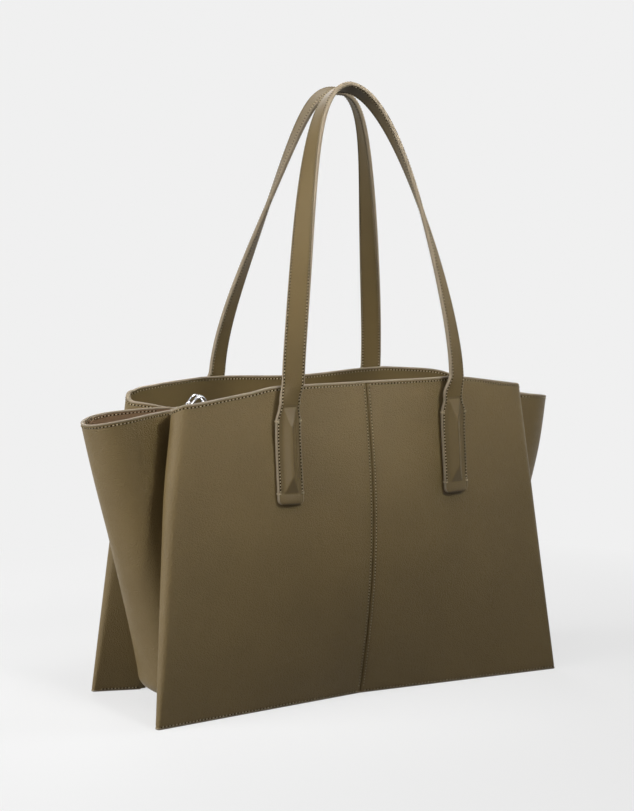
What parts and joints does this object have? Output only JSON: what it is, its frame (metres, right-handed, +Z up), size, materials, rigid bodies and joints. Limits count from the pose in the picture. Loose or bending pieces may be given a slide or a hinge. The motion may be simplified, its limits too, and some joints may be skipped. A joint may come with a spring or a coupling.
{
  "type": "tote bag",
  "caption": "Structured leather tote bag with long shoulder straps, sewn strap tabs, winged side gussets and a zipped compartment between open ones.",
  "frame": {"origin": "on the floor, under the middle of the bag's base", "axes": "+Z up, +X along the bag's width to its right as seen from the front, +Y from the front wall to the back wall; the front faces -Y"},
  "size_m": [0.4594, 0.1596, 0.5228],
  "materials": {
    "pebbled_leather": "fine pebble grain, satin",
    "smooth_leather": "smooth, satin",
    "brown_suede": "suede, matte",
    "zip_tape": "woven, matte",
    "stiffener": "matte board",
    "silver_metal": "polished silver"
  },
  "bodies": {
    "bag": {"back_divider": "brown_suede", "back_facing": "smooth_leather", "back_lining": "brown_suede", "back_panel_left": "pebbled_leather", "back_panel_right": "pebbled_leather", "back_tab_filler_left": "stiffener", "back_tab_filler_right": "stiffener", "back_tab_left": "pebbled_leather", "back_tab_right": "pebbled_leather", "base_board": "stiffener", "base_panel": "pebbled_leather", "front_divider": "brown_suede", "front_facing": "smooth_leather", "front_lining": "brown_suede", "front_panel_left": "pebbled_leather", "front_panel_right": "pebbled_leather", "front_tab_filler_left": "stiffener", "front_tab_filler_right": "stiffener", "front_tab_left": "pebbled_leather", "front_tab_right": "pebbled_leather", "wing_left": "pebbled_leather", "wing_lining_left": "brown_suede", "wing_lining_right": "brown_suede", "wing_right": "pebbled_leather", "zip_stop_back_left": "silver_metal", "zip_stop_back_right": "silver_metal", "zip_stop_front_left": "silver_metal", "zip_stop_front_right": "silver_metal", "zip_tape_back": "zip_tape", "zip_tape_front": "zip_tape", "zip_teeth_back": "silver_metal", "zip_teeth_front": "silver_metal"},
    "front_handle": {"front_strap_outer": "pebbled_leather", "front_strap_lining": "pebbled_leather"},
    "back_handle": {"back_strap_outer": "pebbled_leather", "back_strap_lining": "pebbled_leather"},
    "zip_slider": {"zip_slider": "silver_metal", "zip_slider_crown": "silver_metal"},
    "zip_puller": {"zip_puller": "silver_metal"}
  },
  "joints": [
    {"name": "front_handle_turn", "type": "hinge", "parent": "bag", "child": "front_handle", "pos_m": [0, -0.07325, 0.2555], "axis": [1, 0, 0], "range_deg": [0, 150]},
    {"name": "back_handle_turn", "type": "hinge", "parent": "bag", "child": "back_handle", "pos_m": [0, 0.07325, 0.2555], "axis": [-1, 0, 0], "range_deg": [0, 150]},
    {"name": "zip_slide", "type": "slide", "parent": "bag", "child": "zip_slider", "axis": [1, 0, 0], "range_m": [0, 0.264]},
    {"name": "puller_turn", "type": "hinge", "parent": "zip_slider", "child": "zip_puller", "pos_m": [-0.135, 0, 0.2516], "axis": [0, -1, 0], "range_deg": [0, 130]}
  ]
}
